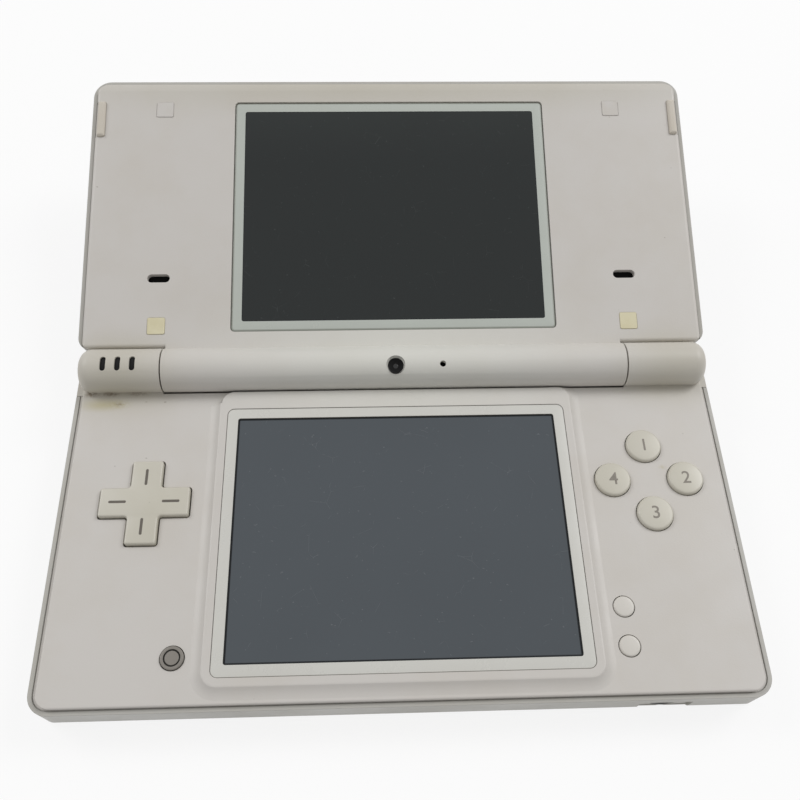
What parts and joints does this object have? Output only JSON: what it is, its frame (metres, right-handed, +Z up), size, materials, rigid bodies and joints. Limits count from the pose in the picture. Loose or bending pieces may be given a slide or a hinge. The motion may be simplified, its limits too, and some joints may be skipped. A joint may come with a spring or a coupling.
{
  "type": "clamshell handheld game console",
  "caption": "Clamshell handheld console with two screens, keys, stylus and a lid on a friction hinge, lying open.",
  "frame": {"origin": "middle of the base's footprint, on the underside that it lies on", "axes": "+X to the player's right, +Y away from the player to the hinge, +Z up"},
  "size_m": [0.137, 0.1391, 0.0304],
  "materials": {
    "battery": "wrapped",
    "black_part": "moulded",
    "board": "lacquered",
    "bumper": "aged",
    "cable": "film",
    "display": "polished",
    "key": "satin",
    "lens": "polished",
    "light": "clear, unlit",
    "membrane": "matte",
    "plate": "moulded, fine texture",
    "power_key": "satin",
    "rubber_pad": "aged",
    "screw": "zinc plated",
    "shell": "moulded, fine texture",
    "sleeve": "moulded",
    "steel": "ground",
    "touch_film": "satin film",
    "tray": "stamped",
    "window": "clear, grey behind"
  },
  "bodies": {
    "base": {"base_lower_shell": "shell", "base_face_plate": "plate", "touch_panel": "touch_film", "lower_display": "display", "lower_display_tray": "tray", "main_board": "board", "wireless_board": "board", "battery": "battery", "battery_cover": "shell", "battery_cover_screws": "screw", "base_screws": "screw", "screw_covers": "rubber_pad", "direction_pad_membrane": "membrane", "key_membrane": "membrane", "menu_membrane": "membrane", "memory_card_socket": "tray", "game_card_socket": "black_part", "headphone_jack": "black_part", "charging_socket": "black_part", "status_lights": "light", "hinge_sleeve": "sleeve", "hinge_pin": "steel"},
    "lid": {"lid_outer_shell": "shell", "lid_inner_shell": "plate", "upper_window_pane": "window", "upper_display": "display", "upper_display_tray": "tray", "left_speaker": "black_part", "right_speaker": "black_part", "inner_camera": "black_part", "inner_camera_window": "lens", "outer_camera": "black_part", "outer_camera_window": "lens", "microphone": "steel", "lid_pads": "rubber_pad", "side_bumpers": "bumper", "lid_screws": "screw", "hinge_clutch": "steel", "display_cable": "cable"},
    "direction_pad_body": {"direction_pad": "key"},
    "key_top_body": {"key_top": "key"},
    "key_left_body": {"key_left": "key"},
    "key_right_body": {"key_right": "key"},
    "key_bottom_body": {"key_bottom": "key"},
    "start_key_body": {"start_key": "key"},
    "select_key_body": {"select_key": "key"},
    "power_key_body": {"power_key": "power_key"},
    "left_shoulder_key_body": {"left_shoulder_key": "shell"},
    "right_shoulder_key_body": {"right_shoulder_key": "shell"},
    "volume_up_key_body": {"volume_up_key": "shell"},
    "volume_down_key_body": {"volume_down_key": "shell"},
    "memory_card_cover_body": {"memory_card_cover": "shell"},
    "stylus_body": {"stylus": "shell"}
  },
  "joints": [
    {"name": "lid_hinge", "type": "hinge", "parent": "base", "child": "lid", "pos_m": [0, 0.03275, 0.0121], "axis": [1, 0, 0], "range_deg": [-15.3, 164.7]},
    {"name": "direction_pad_rock", "type": "hinge", "parent": "base", "child": "direction_pad_body", "pos_m": [-0.051, 0.00295, 0.0089], "axis": [1, 0, 0], "range_deg": [-3, 3], "stiffness_Nm_per_rad": 0.1},
    {"name": "key_top_press", "type": "slide", "parent": "base", "child": "key_top_body", "axis": [0, 0, -1], "range_m": [0, 0.0006], "stiffness_N_per_m": 800},
    {"name": "key_left_press", "type": "slide", "parent": "base", "child": "key_left_body", "axis": [0, 0, -1], "range_m": [0, 0.0006], "stiffness_N_per_m": 800},
    {"name": "key_right_press", "type": "slide", "parent": "base", "child": "key_right_body", "axis": [0, 0, -1], "range_m": [0, 0.0006], "stiffness_N_per_m": 800},
    {"name": "key_bottom_press", "type": "slide", "parent": "base", "child": "key_bottom_body", "axis": [0, 0, -1], "range_m": [0, 0.0006], "stiffness_N_per_m": 800},
    {"name": "start_key_press", "type": "slide", "parent": "base", "child": "start_key_body", "axis": [0, 0, -1], "range_m": [0, 0.00035], "stiffness_N_per_m": 800},
    {"name": "select_key_press", "type": "slide", "parent": "base", "child": "select_key_body", "axis": [0, 0, -1], "range_m": [0, 0.00035], "stiffness_N_per_m": 800},
    {"name": "power_key_press", "type": "slide", "parent": "base", "child": "power_key_body", "axis": [0, 0, -1], "range_m": [0, 0.00035], "stiffness_N_per_m": 800},
    {"name": "left_shoulder_swing", "type": "hinge", "parent": "base", "child": "left_shoulder_key_body", "pos_m": [-0.052, 0.03475, 0.00415], "axis": [0, 0, 1], "range_deg": [0, 2.8], "stiffness_Nm_per_rad": 0.2},
    {"name": "right_shoulder_swing", "type": "hinge", "parent": "base", "child": "right_shoulder_key_body", "pos_m": [0.052, 0.03475, 0.00415], "axis": [0, 0, 1], "range_deg": [-2.8, 0], "stiffness_Nm_per_rad": 0.2},
    {"name": "volume_up_key_press", "type": "slide", "parent": "base", "child": "volume_up_key_body", "axis": [1, 0, 0], "range_m": [0, 0.0004], "stiffness_N_per_m": 800},
    {"name": "volume_down_key_press", "type": "slide", "parent": "base", "child": "volume_down_key_body", "axis": [1, 0, 0], "range_m": [0, 0.0004], "stiffness_N_per_m": 800},
    {"name": "memory_card_cover_swing", "type": "hinge", "parent": "base", "child": "memory_card_cover_body", "pos_m": [0.0685, -0.0257, 0.00425], "axis": [0, 0, -1], "range_deg": [0, 100]},
    {"name": "stylus_slide", "type": "slide", "parent": "base", "child": "stylus_body", "axis": [1, 0, 0], "range_m": [0, 0.093]}
  ]
}
